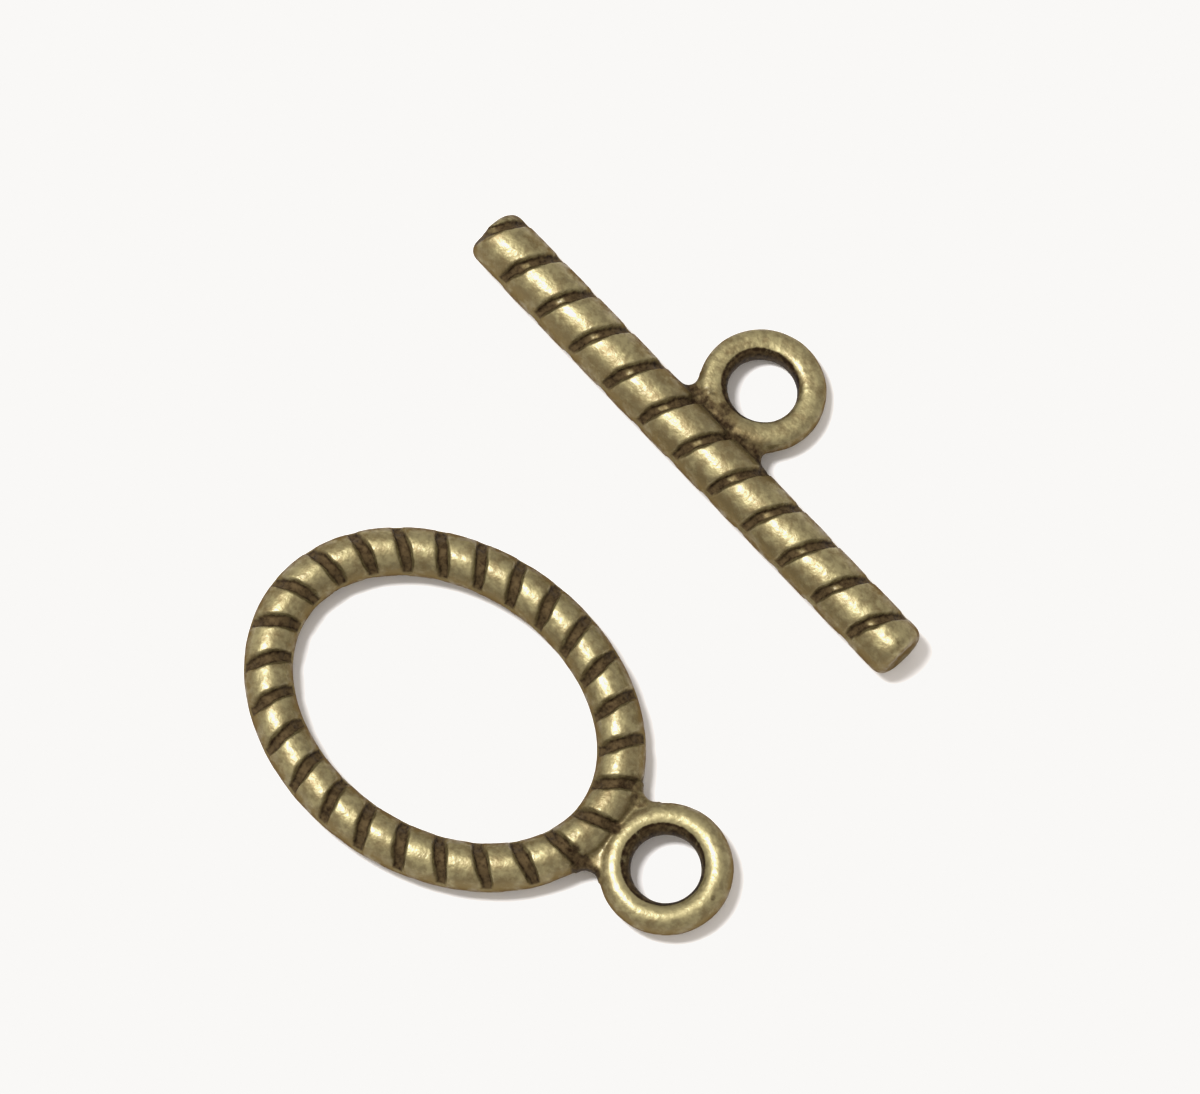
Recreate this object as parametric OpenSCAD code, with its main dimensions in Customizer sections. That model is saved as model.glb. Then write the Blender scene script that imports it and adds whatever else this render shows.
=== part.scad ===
// Toggle clasp: an oval ring and a bar, each cast with its own loop and with slanted grooves
// that make its round body look like twisted cord. Sizes are in mm and +Z is up.
// Both pieces lie on the surface z = 0. +X runs along the ring's long axis to its loop, and the
// bar lies on the ring's +Y side. The origin is the middle of the pair's footprint.

/* [Ring] */
// Length of the oval over its outer edges, without the loop
ring_length = 14.4; // [13:0.1:16]
// Width of the oval over its outer edges
ring_width = 11.3; // [10.5:0.1:12.4]
// Thickness of the oval's round body
ring_thick = 1.65; // [1.4:0.05:1.9]

/* [Bar] */
// Length of the bar
bar_length = 20.25; // [17:0.05:24]
// Thickness of the bar's round body
bar_thick = 2.12; // [1.8:0.02:2.4]
// Rounding of the bar's end rims
bar_rim = 0.16; // [0.05:0.01:0.3]

/* [Loops] */
// Outer diameter of the ring's loop
ring_loop_outer = 4.5; // [4:0.1:5]
// Thickness of that loop's round body
ring_loop_thick = 1.09; // [0.9:0.01:1.2]
// How far that loop's rim sinks into the end of the oval
ring_loop_sink = 0.3; // [0.1:0.05:0.5]
// Outer diameter of the bar's loop
bar_loop_outer = 4.35; // [3.8:0.05:4.8]
// Thickness of that loop's round body
bar_loop_thick = 1; // [0.8:0.01:1.1]
// How far that loop's rim sinks into the side of the bar
bar_loop_sink = 0.27; // [0.1:0.01:0.4]
// How far along the bar that loop is from the bar's middle
bar_loop_along = 0.14; // [-0.5:0.02:0.5]
// How far each hole is opened past its round inner edge, which leaves a short straight wall
hole_trim = 0.02; // [0.01:0.01:0.04]
// Radius of the webs in the corners between each loop and its body
web_radius = 0.5; // [0.3:0.05:0.7]
// How far the curves of the webs run into the loop and the body
web_bite = 0.05; // [0.03:0.01:0.08]
// Thickness of the webs
web_thick = 0.7; // [0.4:0.05:0.8]

/* [Grooves] */
// Number of grooves round the ring's face, with as many on its back
ring_grooves = 26; // [20:1:28]
// Width of the ring's grooves
ring_groove_width = 0.52; // [0.3:0.02:0.6]
// Depth of the ring's grooves in the middle of the face
ring_groove_depth = 0.17; // [0.08:0.01:0.25]
// Slant of the ring's grooves from straight across the body
ring_groove_slant = 14; // [0:1:26]
// How far round the first groove is from the loop, in pitches
ring_groove_start = 0.85; // [0:0.05:1]
// How far the grooves stray from even spacing, in pitches
ring_groove_stray = 0.12; // [0:0.01:0.15]
// Where round the ring they have strayed furthest on
ring_stray_turn = 62; // [0:1:360]
// Spacing of the bar's grooves
bar_groove_pitch = 1.69; // [1.4:0.01:2]
// Width of the bar's grooves
bar_groove_width = 0.58; // [0.4:0.02:0.7]
// Depth of the bar's grooves in the middle of the face
bar_groove_depth = 0.2; // [0.1:0.01:0.3]
// Slant of the bar's grooves from straight across the body, the other way from the ring's
bar_groove_slant = 20; // [0:1:26]
// How far the groove nearest the bar's middle is from it
bar_groove_offset = 0.36; // [0:0.02:0.4]
// Depth left at the sides of both bodies, where a groove runs out
side_depth = 0.04; // [0.02:0.01:0.06]

/* [Layout] */
// Turn of the bar from the ring's long axis
bar_turn = -10.55; // [-20:0.05:0]
// Middle of the bar from the middle of the oval, along the long axis
bar_along = 1.22; // [0:0.01:2]
// Gap between the widest part of the oval and the middle of the bar
bar_gap = 5.62; // [4:0.02:9]

/* [Hidden] */
$fn = 64;

// whole microns, so that arcs that should meet do meet exactly
function micron(x) = round(1000 * x) / 1000;

// the oval is four arcs, whose centres make 3-4-5 triangles: one arc round each end, and a
// flatter one along each side
ring_r = ring_thick / 2;
half_long = micron(ring_length / 2 - ring_r);
half_wide = micron(ring_width / 2 - ring_r);
end_centre = 3 * micron((half_long - half_wide) / 2);
end_radius = half_long - end_centre;
side_centre = end_centre * 4 / 3;
side_radius = end_radius + end_centre * 5 / 3;
end_sweep = atan(4 / 3);
end_arc = end_radius * end_sweep * PI / 180;
side_arc = side_radius * (90 - end_sweep) * PI / 180;
half_round = 2 * (end_arc + side_arc);
ring_pitch = 2 * half_round / ring_grooves;

bar_r = bar_thick / 2;
ring_loop_centre = ring_length / 2 + ring_loop_outer / 2 - ring_loop_sink;
bar_loop_centre = bar_r + bar_loop_outer / 2 - bar_loop_sink;
bar_loop_mid = (bar_loop_outer - bar_loop_thick) / 2;

// the bar rolls on its back until its loop touches the surface
bar_roll = asin((bar_r - bar_loop_thick / 2) / (bar_loop_centre + bar_loop_mid));
bar_across = ring_width / 2 + bar_gap + bar_r;

// the middle of the pair's footprint, from the middle of the oval
bar_reach = bar_length / 2 * cos(bar_turn) - bar_r * sin(bar_turn);
tip_reach = bar_loop_along * sin(bar_turn)
    + (bar_loop_centre + bar_loop_mid) * cos(bar_roll) * cos(bar_turn) + bar_loop_thick / 2;
x_low = min(-ring_length / 2, bar_along - bar_reach);
x_high = max(ring_loop_centre + ring_loop_outer / 2, bar_along + bar_reach);
middle = [(x_low + x_high) / 2, (bar_across + tip_reach - ring_width / 2) / 2, 0];

function flip(p) = [p.x, -p.y];

// a point on an arc of the oval's centreline, and the angle of the outward normal there
function on_arc(centre, radius, start, run) =
    let (a = start + run / radius * 180 / PI)
    [centre.x + radius * cos(a), centre.y + radius * sin(a), a];

// the same for the point a given distance round from the loop's end, anticlockwise
function on_oval(run) =
    run >= half_round ? let (p = on_oval(run - half_round)) [-p.x, -p.y, p.z + 180] :
    run < end_arc ? on_arc([end_centre, 0], end_radius, 0, run) :
    run < half_round - end_arc ? on_arc([0, -side_centre], side_radius, end_sweep, run - end_arc) :
    on_arc([-end_centre, 0], end_radius, 180 - end_sweep, run - half_round + end_arc);

// a shape turned round a centre, kept between the lines from there through the arc's two ends
module arc(centre, radius, ends) {
    intersection() {
        translate(centre) rotate_extrude() translate([radius, 0]) children();
        linear_extrude(4 * ring_r, center = true) polygon([centre, ends[0], ends[1]]);
    }
}

// a shape swept round the oval
module round_oval() {
    far = [end_centre + 9, 12];
    for (side = [0, 180]) rotate([0, 0, side]) {
        arc([end_centre, 0], end_radius, [[far.x, -far.y], far]) children();
        arc([0, -side_centre], side_radius, [far, [-far.x, far.y]]) children();
    }
}

// the floor of the grooves: a lens, well below the faces and only just inside the sides
module floor_shape(r, depth) {
    w = r - side_depth;
    h = r - depth;
    big = (w * w + h * h) / (2 * h);
    intersection() {
        translate([0, h - big]) circle(r = big);
        translate([0, big - h]) circle(r = big);
    }
}

// one straight cutter across the upper half of a body that runs along Y
module cutter(r, width, slant) {
    rotate([0, 0, slant]) translate([-1.5 * r, -width / 2, 0]) cube([3 * r, width, 1.5 * r]);
}

// the grooves of a back are those of the face turned over and moved on by half a pitch
module ring_cuts() {
    difference() {
        for (back = [0, 1]) rotate([180 * back, 0, 0])
            for (i = [0 : ring_grooves - 1]) {
                stray = ring_groove_stray * cos(360 * i / ring_grooves - ring_stray_turn);
                p = on_oval((i + ring_groove_start + stray + back / 2) * ring_pitch);
                translate([p.x, p.y, 0]) rotate([0, 0, p.z])
                    cutter(ring_r, ring_groove_width, ring_groove_slant);
            }
        round_oval() floor_shape(ring_r, ring_groove_depth);
    }
}

module bar_cuts() {
    half = ceil(bar_length / 2 / bar_groove_pitch);
    difference() {
        for (back = [0, 1]) rotate([0, 180 * back, 0])
            for (i = [-half : half - 1])
                translate([0, bar_groove_offset + (i + back / 2) * bar_groove_pitch, 0])
                    cutter(bar_r, bar_groove_width, -bar_groove_slant);
        rotate([90, 0, 0]) linear_extrude(2 * bar_length, center = true)
            floor_shape(bar_r, bar_groove_depth);
    }
}

// a loop in the XY plane, with its straight-walled hole and the webs on its -X side. corner is
// the middle of the upper web's curve, and heel is where that web ends in the body
module loop(outer, thick, corner, heel) {
    mid = (outer - thick) / 2;
    toe = corner * mid / norm(corner);
    difference() {
        union() {
            rotate_extrude() translate([mid, 0]) circle(d = thick);
            linear_extrude(web_thick, center = true) difference() {
                polygon([toe, corner, heel, flip(heel), flip(corner), flip(toe), [-mid, 0]]);
                for (p = [corner, flip(corner)]) translate(p) circle(r = web_radius);
            }
        }
        cylinder(h = 2 * thick, r = outer / 2 - thick + hole_trim, center = true);
    }
}

// the bar's round body along Y, with its rounded rims
module bar_body() {
    straight = bar_length - 2 * bar_rim;
    rotate([90, 0, 0]) rotate_extrude() {
        translate([0, -straight / 2]) square([bar_r, straight]);
        translate([0, -bar_length / 2]) square([bar_r - bar_rim, bar_length]);
        for (end = [-1, 1]) translate([bar_r - bar_rim, end * straight / 2]) circle(r = bar_rim);
    }
}

// the ring's casting: the grooved oval with its loop
module oval_ring() {
    gap = ring_loop_centre - end_centre;
    near = ring_loop_outer / 2 + web_radius - web_bite;
    far = end_radius + ring_r + web_radius - web_bite;
    x = (gap * gap + near * near - far * far) / (2 * gap);
    corner = [-x, sqrt(near * near - x * x)];
    color("darkkhaki") translate([0, 0, ring_r] - middle) {
        difference() {
            round_oval() circle(r = ring_r);
            ring_cuts();
        }
        translate([ring_loop_centre, 0, 0]) loop(ring_loop_outer, ring_loop_thick, corner,
            [-gap, 0] + (corner + [gap, 0]) * end_radius / far);
    }
}

// the bar's casting: the grooved bar with its loop, at rest on the bar's back and the loop's tip
module toggle_bar() {
    near = bar_loop_outer / 2 + web_radius - web_bite;
    x = bar_loop_centre - bar_r - web_radius + web_bite;
    corner = [-x, sqrt(near * near - x * x)];
    color("darkkhaki") translate([bar_along, bar_across, bar_r] - middle)
        rotate([0, 0, bar_turn]) rotate([-bar_roll, 0, 0]) {
            rotate([0, 0, -90]) difference() {
                bar_body();
                bar_cuts();
            }
            translate([bar_loop_along, bar_loop_centre, 0]) rotate([0, 0, 90])
                loop(bar_loop_outer, bar_loop_thick, corner, [-bar_loop_centre, corner.y]);
        }
}

oval_ring();
toggle_bar();
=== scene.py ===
import math

import bpy
import numpy as np
from mathutils import Matrix, Vector


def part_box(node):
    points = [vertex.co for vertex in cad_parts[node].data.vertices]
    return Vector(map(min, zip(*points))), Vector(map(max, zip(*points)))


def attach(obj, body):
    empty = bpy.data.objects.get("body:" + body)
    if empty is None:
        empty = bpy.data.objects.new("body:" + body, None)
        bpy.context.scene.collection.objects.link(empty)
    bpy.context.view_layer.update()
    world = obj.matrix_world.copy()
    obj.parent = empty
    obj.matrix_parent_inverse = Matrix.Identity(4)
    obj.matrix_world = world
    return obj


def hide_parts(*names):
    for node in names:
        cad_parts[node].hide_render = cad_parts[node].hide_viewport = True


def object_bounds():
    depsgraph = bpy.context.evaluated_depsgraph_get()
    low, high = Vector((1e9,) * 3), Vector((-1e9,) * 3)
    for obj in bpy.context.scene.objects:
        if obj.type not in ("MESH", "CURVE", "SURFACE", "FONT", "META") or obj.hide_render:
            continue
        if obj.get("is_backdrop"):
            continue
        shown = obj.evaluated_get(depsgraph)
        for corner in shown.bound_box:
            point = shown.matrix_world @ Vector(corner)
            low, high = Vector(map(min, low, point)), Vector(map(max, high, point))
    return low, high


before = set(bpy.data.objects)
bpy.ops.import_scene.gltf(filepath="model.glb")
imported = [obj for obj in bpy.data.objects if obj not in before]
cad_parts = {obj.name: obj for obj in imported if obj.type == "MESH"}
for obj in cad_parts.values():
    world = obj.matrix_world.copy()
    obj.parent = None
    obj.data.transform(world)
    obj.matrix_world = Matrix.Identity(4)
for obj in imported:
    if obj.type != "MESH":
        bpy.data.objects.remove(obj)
cadLow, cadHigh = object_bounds()
print("frame loaded:", sorted(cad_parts))

# Sizes are in millimetres, and angles in degrees, until the meshes are written in metres.
mm = 0.001

casting = {
    "grid": 0.05,  # spacing of the sampling grid
    "edgeRound": 0.05,  # rounding of the groove edges
    "joinRound": 0.16,  # rounding where a loop runs into its body
    "neckRound": 0.3,  # rounding of the neck's upper and lower edges
    # the next three are heights on a body, from 0 at its side to 1 at its top
    "grooveWide": (0.35, 0.95),  # over which its grooves reach their full width,
    "grooveRise": (0.02, 0.52),  # their full depth,
    "bulgeRise": (0.02, 0.6),  # and the lands their full bulge
    "waviness": 0.007,  # slow unevenness of the cast skin
    "wavelength": 1.3,
    "ripple": 0.0035,  # the same at a smaller scale
    "rippleLength": 0.47,
    "edgeWobble": 0.035,  # how far the groove edges wander
    "edgeWobbleLength": 0.75,
    "edgeWobblePhase": 0.7,
    "waveRuns": ((1, 0.37, 0.71), (-0.43, 1, 0.55), (0.62, -0.81, 1), (1.7, 1.3, -0.9)),
    "waveTurn": 1.9,  # phase from one wave to the next
    "waveFade": 0.4,  # how much weaker each next one is
    "waveSum": 3,  # what they are divided by, so that they reach 0.9 either way
    "waveLow": 0.9,  # added again, so that the unevenness only takes metal away
    "ovalSteps": 1440,  # in which the oval's length is measured round it
    "nearestRounds": 7,  # in which the nearest point on the oval is found
    "leastBend": 0.2,  # keeps those rounds steady near the oval's middle
    "settleRounds": 3,  # in which the mesh settles onto the surface
    "settleMost": 0.03,  # furthest that a point moves in one of them
    "slopeStep": 0.01,  # over which the surface's slope is measured
    "leastSlope": 0.2,  # keeps the settling steady in sharp corners
}
nothing = 1e-9  # keeps a division from having 0 under it


def softMin(a, b, k):
    # the lesser of two distances, with the corner between them rounded over k
    h = np.maximum(k - np.abs(a - b), 0) / k
    return np.minimum(a, b) - h * h * k / 4


def softMax(a, b, k):
    return -softMin(-a, -b, k)


def smoothStep(low, high, x):
    t = np.clip((x - low) / (high - low), 0, 1)
    return t * t * (3 - 2 * t)


def waves(x, y, z, length, phase):
    # four crossing waves, whose sum repeats nowhere near the size of the part
    w = 2 * math.pi / length
    total = 0
    for n, (fx, fy, fz) in enumerate(casting["waveRuns"]):
        wave = np.sin(w * (fx * x + fy * y + fz * z) + phase + casting["waveTurn"] * n)
        total = total + wave / (1 + casting["waveFade"] * n)
    return total / casting["waveSum"]


def grooveShare(gap, crest, part, wobble):
    # 0 on a land and 1 on a groove's floor, and how deep the groove still is at that height
    width = part["sideWidth"] + (1 - part["sideWidth"]) * smoothStep(*casting["grooveWide"], np.abs(crest))
    share = 1 - (np.abs(gap + wobble) - width * part["floorWidth"] / 2) / part["wallRun"]
    share = softMax(softMin(share, 1.0, casting["edgeRound"]), 0.0, casting["edgeRound"])
    return share, smoothStep(*casting["grooveRise"], np.abs(crest))


def landDrop(gap, pitch, crest, part):
    # each land bulges like a strand: it drops towards its grooves
    along = 1 - np.minimum(np.abs(gap) / (pitch / 2), 1)
    return part["bulge"] * along ** 2 * smoothStep(*casting["bulgeRise"], np.abs(crest))


def edgeWobble(x, y, z):
    return casting["edgeWobble"] * waves(x, y, z, casting["edgeWobbleLength"], casting["edgeWobblePhase"])


def loopField(aside, ahead, z, part):
    # aside and ahead are the place from the loop's centre
    n = part["loopSquare"]
    radial = np.abs(np.hypot(aside, ahead) - part["loopMid"]) / part["loopThick"] + nothing
    upright = np.abs(z) / part["loopHalfHeight"] + nothing
    return ((radial ** n + upright ** n) ** (1 / n) - 1) * part["loopThick"]


def neckField(along, across, z, reach, part):
    # the web between the body and the loop, whose centre is at reach along it: a triangle each
    # side of the axis, less a round bite
    cx, cy = part["neckCorner"]
    across = np.abs(across)
    plan = part["neckCurve"] - np.hypot(along - cx, across - cy)
    for centre, way in ((reach, 1), (part["bodyCentre"], -1)):
        line = cy * (along - centre) - (cx - centre) * across
        plan = np.maximum(plan, way * line / math.hypot(cx - centre, cy))
    out = np.hypot(along - reach, across)
    plan = np.maximum(plan, np.maximum(part["neckFrom"] - along, part["loopMid"] - out))
    return softMax(plan, np.abs(z) - part["neckHeight"], casting["neckRound"])


# Each piece is made lying along X, with its middle at the origin, and then put in its place.
ovalRing = {
    "span": ((-7.5, -5.9, -1), (11.7, 5.9, 1)),  # lowest and highest corner of the sampled space
    "phase": 0.0,  # of its unevenness, so that the two castings differ
    "halfLong": 6.375,  # of the body's centreline
    "halfWide": 4.825,
    "radius": 0.825,
    "grooves": 26,
    "grooveStart": 0.85,  # in pitches from the loop's end
    "grooveStray": 0.12,  # how far the grooves stray from even spacing, in pitches
    "strayTurn": 62,  # where round the ring they have strayed furthest on
    "grooveLean": 0.206,  # how far a groove's outer side runs ahead of its crest
    "grooveDepth": 0.20,
    "floorWidth": 0.28,  # of a groove
    "wallRun": 0.14,  # width of each sloping wall, seen from above
    "sideWidth": 0.62,  # of the grooves' width, left where they run out at the sides
    "bulge": 0.034,  # how far each land rises between its grooves
    "floorWear": 0.0,  # how bare the groove floors were rubbed
    "crease": (0.02, 0.22),  # how far from the join the patina and painted shade in it start to thin and end
    "creaseShare": 0.5,  # how much of the metal it hides there
    "joinBrown": 0.4,  # how brown the brass is around the join, partly painted shade
    "loopAt": (9.15, 0),
    "loopMid": 1.705,  # radius of its centreline
    "loopThick": 0.545,  # half its thickness across
    "loopSquare": 2.0,  # 2 is a round section, more is squarer
    "loopHalfHeight": 0.545,
    "loopPolishAndHighlight": 0.65,  # how much lighter and glossier the loop is painted, from its hole to just past its crest: partly handling polish, partly a painted highlight band
    "rimWidth": 0.26,  # from the hole's wall to where the darkened inner wall gives way to the top
    "rimShift": (-0.116, -0.012),  # that edge is a little off the hole's middle
    "bodyCentre": 2.325,  # of the oval's end, where the neck's sides aim
    "neckCorner": (7.30, 2.035),  # middle of the round bite in each side of the neck
    "neckCurve": 0.50,  # its radius
    "neckHeight": 0.32,  # half the neck's thickness
    "neckFrom": 6.45,  # how far along it starts, inside the body
    "pools": (  # where more or less of the patina stayed on the face, the dark ones by the joins partly painted shade: place, radius, share
        (6.62, 1.62, 0.60, 0.6), (7.08, 1.26, 0.50, 0.55), (7.02, 0.03, 0.38, 1.0),
        (6.40, -1.55, 0.50, 0.8), (6.90, -1.60, 0.60, 0.85), (7.35, -1.62, 0.40, 0.8),
        (7.02, -0.95, 0.20, -1.4), (7.40, 0.28, 0.36, -0.6), (11.04, 0.05, 0.15, 0.65)),
}


def ovalPlace(x, y):
    # how far round the nearest point of the oval's centreline is, how far outward of it this
    # place is, and how sharply the oval bends there
    a, b = ovalRing["halfLong"], ovalRing["halfWide"]
    t = np.arctan2(a * y, b * x)
    for _ in range(casting["nearestRounds"]):
        c, s = np.cos(t), np.sin(t)
        dx, dy = x - a * c, y - b * s
        slope = -dx * a * s + dy * b * c
        bend = -(a * a * s * s + b * b * c * c) - dx * a * c - dy * b * s
        t = t - slope / np.minimum(bend, -casting["leastBend"] * (a * a * s * s + b * b * c * c))
    c, s = np.cos(t), np.sin(t)
    dx, dy = x - a * c, y - b * s
    way = np.where(dx * b * c + dy * a * s < 0, -1.0, 1.0)
    run = np.interp(t % (2 * math.pi), ovalTurns, ovalRuns)
    curve = a * b / (a * a * s * s + b * b * c * c) ** 1.5
    return run, way * np.hypot(dx, dy), curve


ovalTurns = np.linspace(0, 2 * math.pi, casting["ovalSteps"] + 1)
ovalStretches = np.hypot(
    np.diff(ovalRing["halfLong"] * np.cos(ovalTurns)), np.diff(ovalRing["halfWide"] * np.sin(ovalTurns)))
ovalRuns = np.concatenate(([0], np.cumsum(ovalStretches)))
ringPitch = ovalRuns[-1] / ovalRing["grooves"]


def ringGap(run, side, crest):
    # along the body from the nearest groove; the back's grooves run on from the face's
    lean = ovalRing["grooveLean"] * side
    place = np.where(crest > 0, run - lean, -run - lean) / ringPitch - ovalRing["grooveStart"]
    place = place - np.where(crest > 0, 0, 0.5)
    stray = ovalRing["grooveStray"] * np.cos(
        2 * math.pi * place / ovalRing["grooves"] - math.radians(ovalRing["strayTurn"]))
    place = place - stray
    return (place - np.round(place)) * ringPitch


def ringFields(x, y, z):
    # the ring's three fields, and what its patina needs to know of each place
    run, offset, curve = ovalPlace(x, y)
    rho = np.sqrt(offset * offset + z * z) + nothing
    side, crest = offset / rho, z / rho
    gap = ringGap(run, side, crest) * (1 + curve * offset)
    share, fade = grooveShare(gap, crest, ovalRing, edgeWobble(x, y, z))
    drop = landDrop(gap, ringPitch, crest, ovalRing)
    body = rho - (ovalRing["radius"] - ovalRing["grooveDepth"] * share * fade - drop)
    loopX, loopY = ovalRing["loopAt"]
    aside, ahead = x - loopX, y - loopY
    fields = body, loopField(aside, ahead, z, ovalRing), neckField(x, y, z, loopX, ovalRing)
    return fields, (share, fade, side, aside, ahead)


toggleBar = {
    "span": ((-10.41, -1.3, -1.2), (10.4, 5.4, 1.2)),  # this start leaves no edge with four faces
    "phase": 2.1,
    "fromOval": (1.22, 12.33),  # from the oval's middle to the bar's, along and across
    "turn": -10.55,
    "roll": -6.932,  # it rests on its back and on the tip of its loop
    "length": 20.25,
    "radius": 1.06,
    "taper": 0.035,  # how much thinner its radius is by the far end
    "taperRun": (-3, 10),  # where along it that starts and ends
    "rim": 0.24,  # rounding of its end rims
    "pitch": 1.69,
    "grooveOffset": 0.36,
    "firstGroove": -6,
    "lastGroove": 5,
    "stubShare": 0.4,  # of a groove's depth, left on the short end past the first groove
    "grooveLean": 0.38,
    "grooveDepth": 0.21,
    "floorWidth": 0.22,
    "wallRun": 0.15,
    "sideWidth": 0.75,
    "bulge": 0.038,
    "floorWear": 0.56,  # at a place a little to one side of the crest
    "crease": (0.12, 0.75),
    "creaseShare": 0.7,
    "joinBrown": 1.0,
    "loopAt": (0.14, 2.965),  # it sits a little off the bar's middle
    "loopMid": 1.672,
    "loopThick": 0.498,
    "loopSquare": 2.8,
    "loopHalfHeight": 0.47,
    "loopPolishAndHighlight": 0.0,
    "rimWidth": 0.17,
    "rimShift": (-0.112, -0.033),
    "bodyCentre": -500,  # the bar is straight, so the neck's sides run square to it
    "neckCorner": (1.51, 2.185),
    "neckCurve": 0.50,
    "neckHeight": 0.26,
    "neckFrom": 0.60,
    "pools": (
        (-0.85, 1.22, 0.62, 0.6), (-0.1, 1.48, 0.55, 0.65), (1.28, 1.15, 0.60, 0.55),
        (1.24, 1.55, 0.26, -0.7), (9.85, -0.1, 0.14, 0.6)),
}


def barFields(x, y, z):
    # the same for the bar
    rho = np.sqrt(y * y + z * z) + nothing
    side, crest = y / rho, z / rho
    place = np.where(crest > 0, x - toggleBar["grooveLean"] * side, x + toggleBar["grooveLean"] * side)
    place = (place - toggleBar["grooveOffset"]) / toggleBar["pitch"] - np.where(crest > 0, 0, 0.5)
    last = toggleBar["lastGroove"] - (crest < 0)  # the back has no room for a groove so near the end
    nearest = np.clip(np.round(place), toggleBar["firstGroove"], last)
    gap = (place - nearest) * toggleBar["pitch"]
    share, fade = grooveShare(gap, crest, toggleBar, edgeWobble(x, y, z))
    stub = (nearest == toggleBar["firstGroove"]) & (gap < 0)
    share = np.where(stub, np.maximum(share, toggleBar["stubShare"]), share)
    drop = landDrop(gap, toggleBar["pitch"], crest, toggleBar)
    radius = toggleBar["radius"] - toggleBar["taper"] * smoothStep(*toggleBar["taperRun"], x)
    body = rho - (radius - toggleBar["grooveDepth"] * share * fade - drop)
    body = softMax(body, np.abs(x) - toggleBar["length"] / 2, 2 * toggleBar["rim"])
    loopX, loopY = toggleBar["loopAt"]
    aside, ahead = x - loopX, y - loopY
    fields = body, loopField(aside, ahead, z, toggleBar), neckField(y, aside, z, loopY, toggleBar)
    return fields, (share, fade, side, aside, ahead)


def castSkin(fieldsOf, part, x, y, z):
    # distance from the casting's skin, below 0 inside it
    body, loop, neck = fieldsOf(x, y, z)[0]
    k = casting["joinRound"]
    slow = waves(x, y, z, casting["wavelength"], part["phase"]) + casting["waveLow"]
    quick = waves(x, y, z, casting["rippleLength"], 2 * part["phase"]) + casting["waveLow"]
    uneven = casting["waviness"] * slow + casting["ripple"] * quick
    return softMin(softMin(body, neck, k), softMin(loop, neck, k), k / 2) + uneven


def netPoints(field, axes):
    # one point in each cell that the surface crosses, and the cells' numbers
    corners = [(i, j, k) for i in (0, 1) for j in (0, 1) for k in (0, 1)]
    inside = (field < 0).astype(np.int8)
    ends = [n - 1 for n in field.shape]
    count = sum(inside[tuple(slice(c, end + c) for c, end in zip(corner, ends))] for corner in corners)
    cells = (count > 0) & (count < len(corners))
    at = np.argwhere(cells)
    number = np.full(cells.shape, -1, np.int64)
    number[cells] = np.arange(len(at))
    total, hits = np.zeros((len(at), 3)), np.zeros(len(at))
    for corner in corners:
        for axis in range(3):
            if corner[axis]:
                continue
            near = field[tuple((at + corner).T)]
            far = field[tuple((at + corner + np.eye(3, dtype=int)[axis]).T)]
            crossed = (near < 0) != (far < 0)
            point = np.repeat(np.array([corner], float), len(at), 0)
            point[:, axis] += np.where(crossed, near / np.where(crossed, near - far, 1), 0)
            total += point * crossed[:, None]
            hits += crossed
    step = np.array([a[1] - a[0] for a in axes])
    return np.array([a[0] for a in axes]) + (at + total / hits[:, None]) * step, number


def netQuads(inside, number):
    # one quad round each line of the grid that the surface crosses
    quads = []
    for axis in range(3):
        u, v = (axis + 1) % 3, (axis + 2) % 3
        grow = np.eye(3, dtype=int)[axis]
        lower = inside[tuple(slice(0, s - g) for s, g in zip(inside.shape, grow))]
        upper = inside[tuple(slice(g, s) for s, g in zip(inside.shape, grow))]
        for flip, changed in ((False, lower & ~upper), (True, ~lower & upper)):
            edge = np.argwhere(changed)
            around = []
            for du, dv in ((0, 0), (1, 0), (1, 1), (0, 1)):
                cell = edge.copy()
                cell[:, u] -= du
                cell[:, v] -= dv
                around.append(number[tuple(cell.T)])
            around = np.stack(around, 1)
            quads.append(around[:, ::-1] if flip else around)
    return np.concatenate(quads)


def settle(fieldsOf, part, points):
    # moves each point onto the surface along the field's own slope
    h = casting["slopeStep"]
    for _ in range(casting["settleRounds"]):
        x, y, z = points.T
        here = castSkin(fieldsOf, part, x, y, z)
        slope = np.stack([
            castSkin(fieldsOf, part, x + h, y, z) - castSkin(fieldsOf, part, x - h, y, z),
            castSkin(fieldsOf, part, x, y + h, z) - castSkin(fieldsOf, part, x, y - h, z),
            castSkin(fieldsOf, part, x, y, z + h) - castSkin(fieldsOf, part, x, y, z - h)], 1) / (2 * h)
        move = here[:, None] * slope / np.maximum((slope ** 2).sum(1), casting["leastSlope"])[:, None]
        length = np.linalg.norm(move, axis=1)[:, None]
        points = points - move * np.minimum(1, casting["settleMost"] / np.maximum(length, nothing))
    return points
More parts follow.
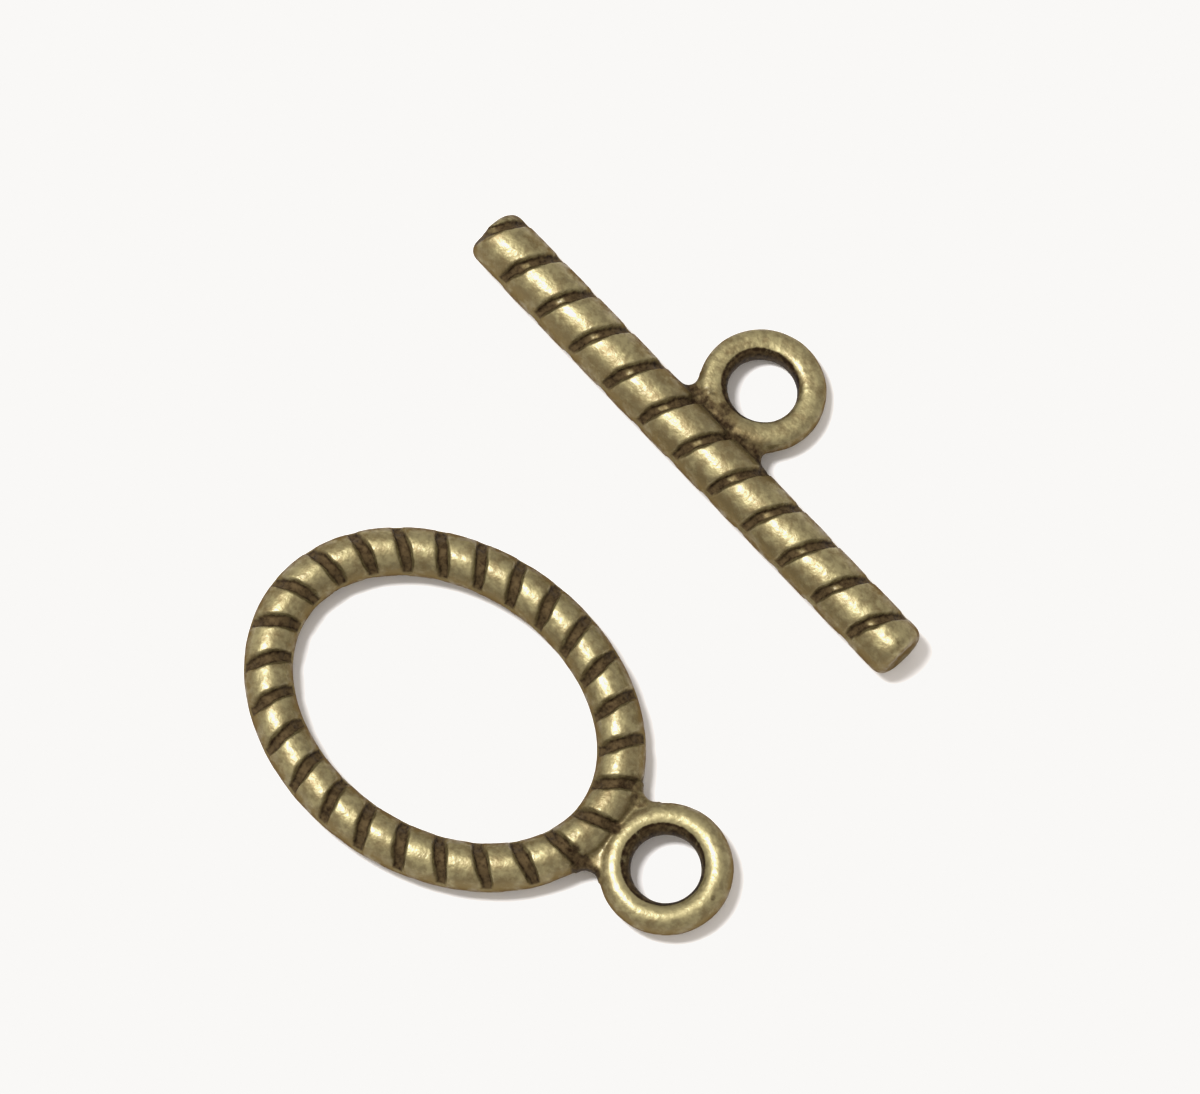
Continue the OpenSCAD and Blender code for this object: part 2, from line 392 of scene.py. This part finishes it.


# How the tumbling left the patina, and where shade is painted in as patina, the same on both
# pieces. A pair is a range over which something starts and ends.
tumblingAndShade = {
    "touch": (0.03, 0.10),  # off a body, where its own grooves stop counting
    "hold": (0.10, 0.42),  # of a groove's depth, from where it keeps the patina
    "wallBlack": 0.6,  # how black the patina is on the grooves' walls, partly painted shade of the steep walls,
    "creaseBlack": 0.4,  # in the joins, partly painted shade,
    "holeBlack": 0.2,  # in the holes, where it is painted shade over some patina,
    "rimBlack": 0.8,  # in the thin line round each hole, partly painted shade,
    "poolBlack": 0.35,  # and in the pools, the dark ones by the joins partly painted shade
    "floorLevel": (0.86, 1.0),  # of a groove's depth, where the wear of its floor starts
    "floorSide": -0.28,  # where that wear lies, from -1 on one side of the body to 1 on the other
    "floorReach": (0.06, 0.30),
    "joinStretch": 1.5,  # how much further the patina of a join spreads over the body
    "webReach": (0.05, 0.40),  # from where a body, its loop and its neck all meet
    "webShare": 0.5,
    "holeEdge": (-0.06, 0.05),  # from the edge where a loop's darkened inner wall starts
    "holeShare": 0.8,
    "rimEdge": (-0.16, -0.05),  # from the same edge, for the thin line inside it
    "rimShare": 0.9,
    "loopOnly": (0.1, 0.3),  # off the body, where a loop counts as a loop alone
    "poolEdge": (0.3, 1.0),  # of a pool's radius
    "poolBelow": -0.1,  # a pool stays on the face, down to this height
    "flankHeight": (0.35, 0.92),  # of the half thickness, where the flanks' tone ends
    "besideGroove": 0.5,  # how far up a groove's wall the brass is browner
    "besideShare": 0.7,
    "joinReach": (0.3, 1.1),  # from a join
    "polishAndHighlightReach": (0.0, 0.26),  # past a loop's crest
}


def poolsOver(part, patinaAndShade, deep, points):
    # adds the spots where more or less of the patina stayed; the dark ones by the joins are partly painted
    # shade
    x, y, z = points.T
    for px, py, radius, amount in part["pools"]:
        edge = smoothStep(*tumblingAndShade["poolEdge"], np.hypot(x - px, y - py) / radius)
        near = amount * (1 - edge) * (z > tumblingAndShade["poolBelow"])
        black = tumblingAndShade["poolBlack"] * near if amount > 0 else near
        patinaAndShade = np.clip(np.maximum(patinaAndShade, near) if amount > 0 else patinaAndShade + near, 0, 1)
        deep = np.clip(np.maximum(deep, black) if amount > 0 else deep + black, 0, 1)
    return patinaAndShade, deep


def marksOf(fieldsOf, part, points):
    # three marks for each point. The first: how much patina covers it, left in the grooves where the
    # tumbling could not reach, and partly painted shade in the joins, in the pools by them and on the
    # holes' inner walls. Deep: how black that patina is, partly painted shade on the groove walls, in
    # the joins and at the holes' rims. Flank: how much browner the bare brass is, partly less rubbed and
    # partly painted shade, with less than 0 on the loops' tops, painted lighter and glossier as handling
    # polish and as a painted highlight.
    (body, loop, neck), (share, fade, side, aside, ahead) = fieldsOf(*points.T)
    z = points[:, 2]
    held = smoothStep(*tumblingAndShade["hold"], fade) * (1 - smoothStep(*tumblingAndShade["touch"], body))
    groove = share * held
    wall = 4 * share * (1 - share) * groove  # 1 halfway up a wall
    floor = smoothStep(*tumblingAndShade["floorLevel"], share) * (z > 0) * (
        1 - smoothStep(*tumblingAndShade["floorReach"], np.abs(side - tumblingAndShade["floorSide"])))

    # patina and painted shade in the joins, and where a body, its loop and its neck all meet
    join = np.minimum(loop, neck)
    crease = 1 - smoothStep(*part["crease"], np.maximum(body, tumblingAndShade["joinStretch"] * join))
    web = 1 - smoothStep(*tumblingAndShade["webReach"], np.maximum.reduce([loop, body, neck]))

    # the holes' inner walls: painted shade, where they face away from the light, over some patina, blackest
    # in a thin line at their top edge
    shiftX, shiftY = part["rimShift"]
    rim = np.hypot(aside - shiftX, ahead - shiftY) - (part["loopMid"] - part["loopThick"]) - part["rimWidth"]
    hole = (1 - smoothStep(*tumblingAndShade["holeEdge"], rim)) * (body > tumblingAndShade["loopOnly"][0])
    rimLine = hole * smoothStep(*tumblingAndShade["rimEdge"], rim)

    patinaAndShade = np.maximum.reduce([
        groove * (1 - part["floorWear"] * floor), part["creaseShare"] * crease,
        tumblingAndShade["webShare"] * web, tumblingAndShade["holeShare"] * hole, tumblingAndShade["rimShare"] * rimLine])
    deep = np.maximum.reduce([
        tumblingAndShade["wallBlack"] * wall, tumblingAndShade["creaseBlack"] * crease ** 2,
        tumblingAndShade["holeBlack"] * hole, tumblingAndShade["rimBlack"] * rimLine])

    # browner brass low on the sides, beside the grooves and near the joins: partly less-rubbed brass, partly
    # painted shade
    height = np.abs(z) / np.where(body < loop, part["radius"], part["loopHalfHeight"])
    nearGroove = (1 - smoothStep(0, tumblingAndShade["besideGroove"], 1 - share)) * held
    nearJoin = part["joinBrown"] * (1 - smoothStep(*tumblingAndShade["joinReach"], np.maximum(body, join)))
    flank = np.maximum.reduce([
        1 - smoothStep(*tumblingAndShade["flankHeight"], height), tumblingAndShade["besideShare"] * nearGroove, nearJoin])
    # the loops' tops are painted lighter and glossier from the hole to just past the crest: partly handling
    # polish, partly a painted highlight band
    pastCrest = smoothStep(*tumblingAndShade["polishAndHighlightReach"], np.hypot(aside, ahead) - part["loopMid"])
    polishAndHighlight = part["loopPolishAndHighlight"] * (1 - pastCrest) * smoothStep(*tumblingAndShade["loopOnly"], body) * (z > 0)

    patinaAndShade, deep = poolsOver(part, patinaAndShade, deep, points)
    return {"patinaAndShade": patinaAndShade, "deep": deep, "flank": flank * (1 - polishAndHighlight) - polishAndHighlight}


def castPiece(name, fieldsOf, part, place):
    # one closed mesh, with its marks as attributes that the material reads
    step = casting["grid"]
    axes = [np.arange(low, high + step, step) for low, high in zip(*part["span"])]
    field = castSkin(fieldsOf, part, *np.ix_(*axes))
    points, number = netPoints(field, axes)
    quads = netQuads(field < 0, number)
    points = settle(fieldsOf, part, points)
    mesh = bpy.data.meshes.new(name)
    mesh.from_pydata((points * mm).tolist(), [], quads.tolist())
    for label, values in marksOf(fieldsOf, part, points).items():
        layer = mesh.attributes.new(label, "FLOAT", "POINT")
        layer.data.foreach_set("value", values.astype(np.float32))
    mesh.transform(place)
    mesh.validate()
    mesh.shade_smooth()
    piece = bpy.data.objects.new(name, mesh)
    bpy.context.scene.collection.objects.link(piece)
    print(name, len(points), "points,", len(quads), "faces")
    return piece


# The oval's middle comes from the frame, and the bar's from the oval's.
ringLow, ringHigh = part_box("oval_ring")
ovalMiddle = Vector((
    ringLow.x / mm + ovalRing["halfLong"] + ovalRing["radius"],
    (ringLow.y + ringHigh.y) / 2 / mm,
    ovalRing["radius"]))
barMiddle = Vector((
    ovalMiddle.x + toggleBar["fromOval"][0], ovalMiddle.y + toggleBar["fromOval"][1], toggleBar["radius"]))
ringPlace = Matrix.Translation(ovalMiddle * mm)
barPlace = (
    Matrix.Translation(barMiddle * mm)
    @ Matrix.Rotation(math.radians(toggleBar["turn"]), 4, "Z")
    @ Matrix.Rotation(math.radians(toggleBar["roll"]), 4, "X"))

ringPiece = castPiece("ovalRingCasting", ringFields, ovalRing, ringPlace)
barPiece = castPiece("toggleBarCasting", barFields, toggleBar, barPlace)

# Materials

def linear(hexColour):
    # an sRGB hex value as linear red, green, blue and alpha
    channels = [int(hexColour[i:i + 2], 16) / 255 for i in (1, 3, 5)]
    return tuple(c / 12.92 if c <= 0.04045 else ((c + 0.055) / 1.055) ** 2.4 for c in channels) + (1.0,)


def addNode(tree, kind, links=(), inputs=None, **settings):
    # one node with its settings; links are (source node, its output, this node's input)
    node = tree.nodes.new(kind)
    for key, value in settings.items():
        setattr(node, key, value)
    for key, value in (inputs or {}).items():
        node.inputs[key].default_value = value
    for source, output, target in links:
        tree.links.new(source.outputs[output], node.inputs[target])
    return node


def newMaterial(name):
    # a material with nothing in its node tree
    material = bpy.data.materials.new(name)
    material.use_nodes = True
    material.node_tree.nodes.clear()
    return material


mixFrom, mixTo, mixed = 6, 7, 2  # the colour sockets of a Mix node

brass = {
    "worn": "#90865E",  # where handling has rubbed it
    "dull": "#766B47",  # between the rubbed patches
    "flank": "#736648",  # browner, low on the sides and close to the patina and the joins: partly less-rubbed brass, partly painted shade
    "edge": "#8C7A5E",  # of all of it at a grazing angle, where the rough skin shades itself
    # the patina's brown and black below also stand in for painted shade
    "patinaAndShadeBrown": "#4A3D29",
    "blackenedAndShade": "#1E130A",  # where the patina lies thickest, and where shade is painted
    "roughness": 0.50,
    "lacquer": 0.65,  # how much of the rubbed brass a clear lacquer still covers
    "lacquerRoughness": 0.31,
    "lacquerIor": 1.6,
    "patinaRoughness": 0.62,
    "patinaMetal": 0.35,  # the oxide is matte and hides most of the metal under it
    # each unevenness is its size in mm, and the detail and roughness of its noise
    "patches": (0.26, 4.0, 0.6),  # brighter and duller brass
    "tarnish": (0.6, 4.0, 0.7),  # browner brass
    "soot": (0.16, 3.0, 0.6),  # blacker specks in the oxide
    "ragged": (0.22, 3.0, 0.6),  # the edge between metal and oxide
    "dimples": (0.20, 2.0, 0.5),  # of the cast skin
    "grain": (0.07, 2.0, 0.5),  # of the cast skin, much finer
    "dimpleHeight": 0.019,  # mm
    "grainHeight": 0.003,
    "rubbedRange": (0.36, 0.56),  # of the patches' noise, from dull to worn
    "rubbedLess": 0.15,  # taken off that noise on the flanks
    "tarnishContrast": (4.8, -2.30),  # the noise times the first, plus the second
    "tarnishOnFlanks": 0.8,
    "sootContrast": (3.0, -1.25),
    "oxideRange": (0.65, 1.3),  # of the shelter plus the ragged noise, from bare metal to oxide
    "matteTarnish": 0.9,  # how much of the lacquer is gone from the brownest brass
}


def antiqueBrass():
    # Antique brass plate on cast zinc: plated, blackened, then tumbled. The eye sees satin olive
    # brass with soft highlights on the lands, and brown-black oxide left wherever nothing rubbed.
    # Shade is painted in too: browner sides, blacker groove walls, joins and hole walls, and a
    # lighter band on the loops that is partly a painted highlight.
    material = newMaterial("antiqueBrass")
    tree = material.node_tree
    place = addNode(tree, "ShaderNodeTexCoord")
    noise = {}
    for key in ("patches", "tarnish", "soot", "ragged", "dimples", "grain"):
        size, detail, roughness = brass[key]
        noise[key] = addNode(
            tree, "ShaderNodeTexNoise", [(place, "Object", "Vector")],
            {"Scale": 1 / (size * mm), "Detail": detail, "Roughness": roughness})
    patinaAndShade, deep, flank = (
        addNode(tree, "ShaderNodeAttribute", attribute_name=mark) for mark in ("patinaAndShade", "deep", "flank"))

    # bare brass: dull to worn in patches, browner on the flanks, partly as painted shade, and lighter on the
    # loops' tops, partly as a painted highlight
    rubbed = addNode(
        tree, "ShaderNodeMath", [(flank, "Fac", 0), (noise["patches"], "Fac", 2)],
        {1: -brass["rubbedLess"]}, operation="MULTIPLY_ADD")
    low, high = brass["rubbedRange"]
    rubbed = addNode(
        tree, "ShaderNodeMapRange", [(rubbed, "Value", "Value")], {"From Min": low, "From Max": high})
    metal = addNode(
        tree, "ShaderNodeMix", [(rubbed, "Result", "Factor")],
        {mixFrom: linear(brass["dull"]), mixTo: linear(brass["worn"])}, data_type="RGBA")
    times, plus = brass["tarnishContrast"]
    tarnish = addNode(
        tree, "ShaderNodeMath", [(noise["tarnish"], "Fac", 0)], {1: times, 2: plus}, operation="MULTIPLY_ADD")
    tarnish = addNode(
        tree, "ShaderNodeMath", [(flank, "Fac", 0), (tarnish, "Value", 2)],
        {1: brass["tarnishOnFlanks"]}, operation="MULTIPLY_ADD", use_clamp=True)
    metal = addNode(
        tree, "ShaderNodeMix", [(tarnish, "Value", "Factor"), (metal, mixed, mixFrom)],
        {mixTo: linear(brass["flank"])}, data_type="RGBA")

    # oxide, with blacker specks, and black where it is thick and where shade is painted into it
    times, plus = brass["sootContrast"]
    soot = addNode(
        tree, "ShaderNodeMath", [(noise["soot"], "Fac", 0)], {1: times, 2: plus}, operation="MULTIPLY_ADD")
    soot = addNode(
        tree, "ShaderNodeMath", [(soot, "Value", 0), (deep, "Fac", 1)], operation="ADD", use_clamp=True)
    oxideAndShade = addNode(
        tree, "ShaderNodeMix", [(soot, "Value", "Factor")],
        {mixFrom: linear(brass["patinaAndShadeBrown"]), mixTo: linear(brass["blackenedAndShade"])}, data_type="RGBA")

    # where the one ends and the other starts
    mask = addNode(
        tree, "ShaderNodeMath", [(patinaAndShade, "Fac", 0), (noise["ragged"], "Fac", 1)], operation="ADD")
    low, high = brass["oxideRange"]
    mask = addNode(
        tree, "ShaderNodeMapRange", [(mask, "Value", "Value")],
        {"From Min": low, "From Max": high}, interpolation_type="SMOOTHSTEP")
    colour = addNode(
        tree, "ShaderNodeMix",
        [(mask, "Result", "Factor"), (metal, mixed, mixFrom), (oxideAndShade, mixed, mixTo)], data_type="RGBA")
    rough = addNode(
        tree, "ShaderNodeMapRange", [(mask, "Result", "Value")],
        {"To Min": brass["roughness"], "To Max": brass["patinaRoughness"]})
    metalness = addNode(
        tree, "ShaderNodeMapRange", [(mask, "Result", "Value")],
        {"To Min": 1.0, "To Max": brass["patinaMetal"]})
    matte = addNode(
        tree, "ShaderNodeMath", [(tarnish, "Value", 0), (mask, "Result", 2)],
        {1: brass["matteTarnish"]}, operation="MULTIPLY_ADD", use_clamp=True)
    gloss = addNode(
        tree, "ShaderNodeMapRange", [(matte, "Value", "Value")], {"To Min": brass["lacquer"], "To Max": 0.0})

    bump = addNode(
        tree, "ShaderNodeBump", [(noise["grain"], "Fac", "Height")],
        {"Strength": 1.0, "Distance": brass["grainHeight"] * mm})
    bump = addNode(
        tree, "ShaderNodeBump", [(noise["dimples"], "Fac", "Height"), (bump, "Normal", "Normal")],
        {"Strength": 1.0, "Distance": brass["dimpleHeight"] * mm})
    shader = addNode(
        tree, "ShaderNodeBsdfPrincipled",
        [(colour, mixed, "Base Color"), (rough, "Result", "Roughness"), (metalness, "Result", "Metallic"),
         (gloss, "Result", "Coat Weight"), (bump, "Normal", "Normal"), (bump, "Normal", "Coat Normal")],
        {"Specular Tint": linear(brass["edge"]), "Coat IOR": brass["lacquerIor"],
         "Coat Roughness": brass["lacquerRoughness"]})
    addNode(tree, "ShaderNodeOutputMaterial", [(shader, "BSDF", "Surface")])
    return material


plate = antiqueBrass()
for piece, node in ((ringPiece, "oval_ring"), (barPiece, "toggle_bar")):
    piece.data.materials.append(plate)
    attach(piece, "root")
    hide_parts(node)
print("castings dressed")

# Floor, lights and camera

studio = {
    "floorSize": 1200,  # mm
    "floorDrop": 0.002,  # mm, so that it never flickers through what lies on it
    "paperWhite": "#F9F8F6",  # the card's tone in the picture
    "cardTones": ("#EDEBEA", "#F2F0EF"),
    "driftsPerMetre": 180.0,  # between the two
    "cardRoughness": 0.9,
    "cardGloss": 0.2,
    "world": "#FFF9F3",  # a bright, even sky
    "worldStrength": 0.82,
    "lightDistance": 600,  # mm
    "boxAim": (-20.0, 7.0),  # of the softbox, degrees from straight up, to the picture's right and top
    "boxPower": 3.9,  # W
    "boxSize": (160, 110),  # mm, across the picture and up it
}

view = {
    "target": (-0.405, 1.676, 1.0),  # mm, in the row frame
    "distance": 300,  # mm
    "elevation": 74.35,
    "azimuth": -53.31,
    "picture": 1200,  # its width in pixels
    "focal": 8994.2,  # in the same pixels
    "sensor": 36,  # mm
    "clip": (0.01, 10),  # m
}


def whiteCard():
    # matt white card, lightly calendered: no gloss, and a tone that drifts by less than a hundredth
    material = newMaterial("whiteCard")
    tree = material.node_tree
    place = addNode(tree, "ShaderNodeTexCoord")
    drift = addNode(
        tree, "ShaderNodeTexNoise", [(place, "Object", "Vector")],
        {"Scale": studio["driftsPerMetre"], "Detail": 3.0})
    dimmer, brighter = studio["cardTones"]
    colour = addNode(
        tree, "ShaderNodeMix", [(drift, "Fac", "Factor")],
        {mixFrom: linear(dimmer), mixTo: linear(brighter)}, data_type="RGBA")
    shader = addNode(
        tree, "ShaderNodeBsdfPrincipled", [(colour, mixed, "Base Color")],
        {"Roughness": studio["cardRoughness"], "Specular IOR Level": studio["cardGloss"]})
    addNode(tree, "ShaderNodeOutputMaterial", [(shader, "BSDF", "Surface")])
    return material


half = studio["floorSize"] * mm / 2
floorMesh = bpy.data.meshes.new("cardFloor")
floorMesh.from_pydata(
    [(-half, -half, 0), (half, -half, 0), (half, half, 0), (-half, half, 0)], [], [(0, 1, 2, 3)])
cardFloor = bpy.data.objects.new("cardFloor", floorMesh)
cardFloor.data.materials.append(whiteCard())
cardFloor.location.z = -studio["floorDrop"] * mm
bpy.context.scene.collection.objects.link(cardFloor)
cardFloor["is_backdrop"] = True

world = bpy.data.worlds.new("studioWorld")
world.use_nodes = True
sky = world.node_tree.nodes["Background"]
sky.inputs["Color"].default_value = linear(studio["world"])
sky.inputs["Strength"].default_value = studio["worldStrength"]
bpy.context.scene.world = world

# The picture's right and top, as they lie on the floor, and the way from the object to the camera.
tilt, swing = math.radians(view["elevation"]), math.radians(view["azimuth"])
pictureRight = Vector((-math.sin(swing), math.cos(swing), 0))
pictureTop = Vector((-math.cos(swing), -math.sin(swing), 0))
towardsCamera = Vector((math.cos(tilt) * math.cos(swing), math.cos(tilt) * math.sin(swing), math.sin(tilt)))

# The softbox hangs square to its aim, with its long side across the picture.
leanRight, leanUp = (math.tan(math.radians(angle)) for angle in studio["boxAim"])
towardsBox = (Vector((0, 0, 1)) + leanRight * pictureRight + leanUp * pictureTop).normalized()
acrossBox = pictureRight.cross(towardsBox).cross(towardsBox).normalized()
lamp = bpy.data.lights.new("softbox", "AREA")
lamp.shape = "RECTANGLE"
lamp.size, lamp.size_y = (side * mm for side in studio["boxSize"])
lamp.energy = studio["boxPower"]
softbox = bpy.data.objects.new("softbox", lamp)
softbox.matrix_world = (
    Matrix.Translation(towardsBox * studio["lightDistance"] * mm)
    @ Matrix((acrossBox, towardsBox.cross(acrossBox), towardsBox)).transposed().to_4x4())
bpy.context.scene.collection.objects.link(softbox)

camera = bpy.data.cameras.new("camera")
camera.sensor_width = view["sensor"]
camera.lens = view["focal"] / view["picture"] * view["sensor"]
camera.clip_start, camera.clip_end = view["clip"]
viewer = bpy.data.objects.new("camera", camera)
viewer.location = (Vector(view["target"]) + towardsCamera * view["distance"]) * mm
viewer.rotation_mode = "QUATERNION"
viewer.rotation_quaternion = towardsCamera.to_track_quat("Z", "Y")
bpy.context.scene.collection.objects.link(viewer)
bpy.context.scene.camera = viewer

# The card is exposed until it just burns out, and the burnt-out tone is the card's warm white.
colours = bpy.context.scene.view_settings
colours.view_transform = "Standard"
colours.use_curve_mapping = True
for channel, top in enumerate(linear(studio["paperWhite"])[:3]):
    curve = colours.curve_mapping.curves[channel]
    curve.points[0].location, curve.points[1].location = (0, 0), (1, top)
    curve.points.new(top, top)
    for point in curve.points:
        point.handle_type = "VECTOR"
colours.curve_mapping.extend = "HORIZONTAL"
colours.curve_mapping.update()
print("studio ready")

shownLow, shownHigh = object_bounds()
for label, low, high in (("CAD box", cadLow, cadHigh), ("visual box", shownLow, shownHigh)):
    print(label, "in mm:", [round(v / mm, 3) for v in (*low, *high)])
